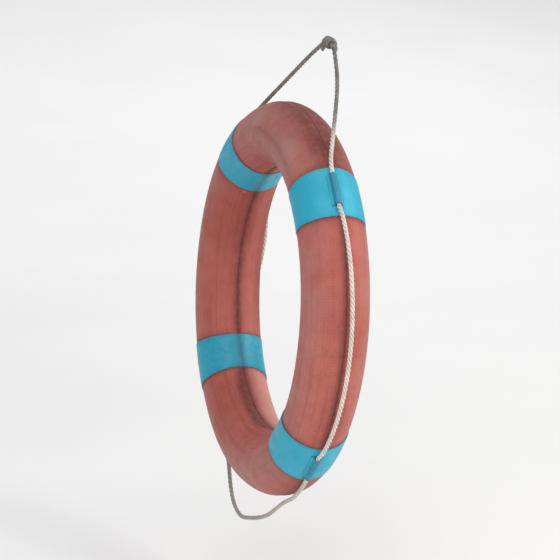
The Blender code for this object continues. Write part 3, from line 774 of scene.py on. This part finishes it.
def rope(name, path, sealed=(False, False), phase=0.0, around=30, radius=ROPE_R, rope_shade=(0.0, 0.0)):
    """Three laid strands as one closed surface that twists along the path."""
    path = np.asarray(path, float)
    n = len(path)
    tangent = np.gradient(path, axis=0)
    tangent /= np.linalg.norm(tangent, axis=1)[:, None]
    normal = np.zeros_like(path)
    ref = np.array([0.0, 1.0, 0.0]) if abs(tangent[0][1]) < 0.9 else np.array([1.0, 0.0, 0.0])
    v = ref - tangent[0] * (ref @ tangent[0])
    normal[0] = v / np.linalg.norm(v)
    for i in range(1, n):
        v = normal[i - 1] - tangent[i] * (normal[i - 1] @ tangent[i])
        normal[i] = v / np.linalg.norm(v)
    side = np.cross(tangent, normal)
    run = np.concatenate([[0], np.cumsum(np.linalg.norm(np.diff(path, axis=0), axis=1))])
    phi = np.arange(around) * 2 * math.pi / around
    local = (phi + math.pi / 3) % (2 * math.pi / 3) - math.pi / 3
    scale = radius / ROPE_R
    shape = (STRAND_AT * np.cos(local) + np.sqrt(STRAND ** 2 - (STRAND_AT * np.sin(local)) ** 2)) * scale
    # painted shade: how deep each point lies in the groove between strands
    strand_shade = np.clip((radius - shape) / (radius - shape.min()), 0, 1) ** 1.5
    rows, uv, groove = [], [], []

    def add(i, size, shift=0.0):
        turn = phase - 2 * math.pi * (run[i] + shift) / LAY
        wear = 1 + 0.012 * math.sin(run[i] * 91 + 1.3) + 0.010 * math.sin(run[i] * 233)
        rr = shape * size * wear
        ring = path[i] + tangent[i] * shift + (np.cos(phi + turn) * rr)[:, None] * normal[i] + (np.sin(phi + turn) * rr)[:, None] * side[i]
        rows.append(ring)
        uv.append(np.stack([phi / (2 * math.pi), np.full(around, run[i] + shift)], axis=-1))
        groove.append(strand_shade)

    cap = [(0.0030, 0.10), (0.0028, 0.42), (0.0023, 0.66), (0.0015, 0.86), (0.0007, 0.97)] if sealed[0] else [(0.0010, 0.10), (0.0009, 0.55), (0.0005, 0.90)]
    for shift, size in cap:
        add(0, size, -shift)
    for i in range(n):
        add(i, 1.0)
    cap = [(0.0007, 0.97), (0.0015, 0.86), (0.0023, 0.66), (0.0028, 0.42), (0.0030, 0.10)] if sealed[1] else [(0.0005, 0.90), (0.0009, 0.55), (0.0010, 0.10)]
    for shift, size in cap:
        add(n - 1, size, shift)
    verts = np.concatenate(rows)
    count = len(rows)
    shade_along = np.clip(np.interp(np.linspace(0, 1, count), *rope_shade), 0, 1) if hasattr(rope_shade[0], "__len__") else np.linspace(*rope_shade, count)
    faces = grid_faces(count, around, False, True)
    faces.append(tuple(range(around)))
    faces.append(tuple((count - 1) * around + j for j in range(around)))
    o = obj_from(name, verts, faces, [ROPE], np.concatenate(uv), 80, {"groove": np.concatenate(groove), "rope_shade": np.repeat(shade_along, around)})
    return face_out(o)


STEP = 0.0016
ur, ul, ll, lr = (BANDS[k] for k in ("upper_right", "upper_left", "lower_left", "lower_right"))
P = PIVOT
TUCK = math.degrees(0.0035 / ROPE_LINE)   # how far a loop's ends go into the keepers


def with_ends(points, start_angle, end_angle):
    """Adds the short stretches that lie inside the two keepers."""
    return [line_point(start_angle)] + list(points) + [line_point(end_angle)]


def shifted(path):
    return np.asarray(path) + np.array(tuple(CENTRE))


right_points = loop_points(lr - 360 + P, ur - P, 0.0240, 0.005)
left_points = loop_points(ul + P, ll - P, 0.0220, 0.0, LEAN)
bottom_points = [
    line_point(lr - P), line_point(lr - P - 5.0, 0.0030), line_point(lr - P - 11.0, 0.0070, -0.001),
    Vector((0.149, -0.006, -0.3430)), Vector((0.067, -0.007, -0.3950)), Vector((-0.017, -0.010, -0.4280)),
    Vector((-0.0560, -0.012, -0.4370)), Vector((-0.0880, -0.013, -0.4310)),
    Vector((-0.1070, -0.014, -0.4180)), Vector((-0.1230, -0.015, -0.3980)),
    Vector((-0.1450, -0.014, -0.3690)), line_point(ll + P + 11.0, 0.0125, -0.003),
    line_point(ll + P + 5.0, 0.0040), line_point(ll + P),
]


def grab_loop(name, node, points, tuck_angles, rope_shade):
    fine = shifted(smooth_route(with_ends(points, *tuck_angles), STEP))
    o = rope(name, fine, rope_shade=rope_shade)
    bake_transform(o)
    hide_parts(node)
    return o


right_loop = grab_loop("grab_line_right", "grab_loop_right", right_points, (lr - 360 + P - TUCK, ur - P + TUCK), (0.0, 0.04))
left_loop = grab_loop("grab_line_left", "grab_loop_left", left_points, (ul + P - TUCK, ll - P + TUCK), (0.0, 0.0))
# the bottom loop darkens towards its left end: painted shade
bottom_loop = grab_loop("grab_line_bottom", "grab_loop_bottom", bottom_points, (lr - P + TUCK, ll + P - TUCK), ((0.0, 0.25, 0.6, 1.0), (0.10, 0.30, 0.66, 0.62)))

for place, centre in BANDS.items():
    span = HOLD_END - 0.10
    pts = shifted([line_point(centre + a) for a in np.linspace(-span, span, 34)])
    o = rope(f"line_in_keeper_{place}", pts, phase=1.0)
    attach(o, "ring")
    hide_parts(f"held_line_{place}")

# the hanging loop: two legs into a barrel knot
knot_end = KNOT_HALF.x + 0.0036
legs = {
    "right": (line_point(ur + P), Vector((-0.745, 0.10, 0.66)), ur + P - TUCK, (
        Vector((0.1510, -0.0308, -0.1154)), Vector((0.0749, -0.0045, -0.0510)), Vector((0.0400, 0.0020, -0.0190)),
        Vector((0.0240, 0.0010, 0.0045)), Vector((knot_end, 0.0, 0.0095)))),
    "left": (line_point(ul - P), Vector((0.745, 0.10, 0.66)), ul - P + TUCK, (
        Vector((-0.1147, -0.0335, -0.0840)), Vector((-0.0530, -0.0205, -0.0300)), Vector((-0.0333, -0.0140, -0.0110)),
        Vector((-0.0235, -0.0075, 0.0010)), Vector((-knot_end, -0.0040, 0.0075)))),
}


def knot_path():
    """Turns round the joined ends, a short tail out at each side."""
    radius, pitch, turns = 0.0074, 0.0082, 2.6
    phi0 = math.radians(205)
    half = pitch * turns / 2
    helix = []
    for i in range(64):
        f = i / 63
        a = phi0 - 2 * math.pi * turns * f
        helix.append(np.array([-half + 2 * half * f, radius * math.cos(a), radius * math.sin(a)]))
    t0 = helix[0] - helix[1]
    t1 = helix[-1] - helix[-2]
    t0 /= np.linalg.norm(t0)
    t1 /= np.linalg.norm(t1)
    tail0 = [helix[0] + t0 * d + np.array([-0.30 * d, -0.20 * d, -4.0 * d * d]) for d in (0.0125, 0.0085, 0.0042)]
    tail1 = [helix[-1] + t1 * d + np.array([0.30 * d, 0.10 * d, -4.0 * d * d]) for d in (0.0042, 0.0080)]
    pts = [Vector(p) for p in tail0 + helix[::3] + tail1]
    return smooth_route([KNOT + p for p in pts], 0.0011)


# the knot is darkened nearly all over: painted shade
knot = rope("barrel_knot", knot_path(), sealed=(True, True), phase=0.4, rope_shade=(0.96, 0.92))
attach(knot, "hanger")
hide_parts("hanging_knot")

# the right leg darkens towards the knot and the left leg is dark all along: painted shade
for side, (foot_local, way, tuck, upper) in legs.items():
    sign = 1 if side == "right" else -1
    foot = CENTRE + foot_local
    route = [CENTRE + line_point(tuck), foot, foot + way.normalized() * 0.030, *upper]
    inner = [Vector((sign * 0.0100, 0.0, KNOT.z - 0.0010)), Vector((sign * 0.0012, 0.0, KNOT.z - 0.0004))]
    whole = smooth_route([*route, *inner], STEP)
    o = rope(f"hanging_line_{side}_leg", whole, phase=0.7 * sign, rope_shade=((0.0, 0.26, 0.44, 1.0), (0.03, 0.10, 0.96, 0.96)) if side == "right" else (0.80, 0.96))
    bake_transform(o)
    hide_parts(f"hanging_line_{side}")


# --- floor and lights -----------------------------------------------------------
def floor():
    """A plain pale floor below the hanging ring, wide enough to fill the view from any side."""
    z = CENTRE.z - 0.56
    count, reach = 9, 22.0
    verts = [(CENTRE.x + reach * (2 * i / (count - 1) - 1), CENTRE.y + reach * (2 * j / (count - 1) - 1), z) for i in range(count) for j in range(count)]
    faces = grid_faces(count, count, False, False)
    o = obj_from("studio_floor", verts, faces, [floor_material("pale_floor", (0.82, 0.82, 0.82))], None, 60)
    if o.data.polygons[0].normal.z < 0:
        o.data.flip_normals()


floor()


def area(name, direction, distance, size, power, colour=(1, 1, 1), shape_y=None):
    data = bpy.data.lights.new(name, "AREA")
    data.energy = power
    data.color = colour
    data.shape = "RECTANGLE"
    data.size = size
    data.size_y = shape_y or size
    o = bpy.data.objects.new(name, data)
    bpy.context.scene.collection.objects.link(o)
    d = direction.normalized()
    o.location = CENTRE + d * distance
    o.rotation_euler = d.to_track_quat("Z", "Y").to_euler()
    return o


area("key", Vector((1.0, 0.06, 0.22)), 3.0, 1.3, 27, (1.0, 0.98, 0.95), 1.8)
area("side", CAM_RIGHT * 1.0 + CAM_BACK * 0.05, 2.8, 1.2, 16, (1.0, 0.97, 0.93), 1.8)
area("rear", Vector((0.35, 0.80, 0.80)), 2.8, 1.2, 22, (1.0, 0.97, 0.93))
area("fill", CAM_RIGHT * -0.35 + CAM_UP * 0.40 + CAM_BACK * 1.0, 3.4, 2.2, 27, (0.95, 0.98, 1.0))
area("top", Vector((0.1, -0.2, 1.0)), 3.0, 2.6, 22)
behind = Vector((-CAM_BACK.x, -CAM_BACK.y, 0)).normalized()
lamp = area("floor_light", behind, 4.5, 5.2, 88, (1, 1, 1), 4.0)
lamp.location.z = CENTRE.z + 2.3
lamp.rotation_euler = (0, 0, math.atan2(behind.y, behind.x))

world = bpy.data.worlds.new("studio")
world.use_nodes = True
world.node_tree.nodes["Background"].inputs["Color"].default_value = (0.97, 0.97, 0.975, 1.0)
world.node_tree.nodes["Background"].inputs["Strength"].default_value = 0.50
bpy.context.scene.world = world
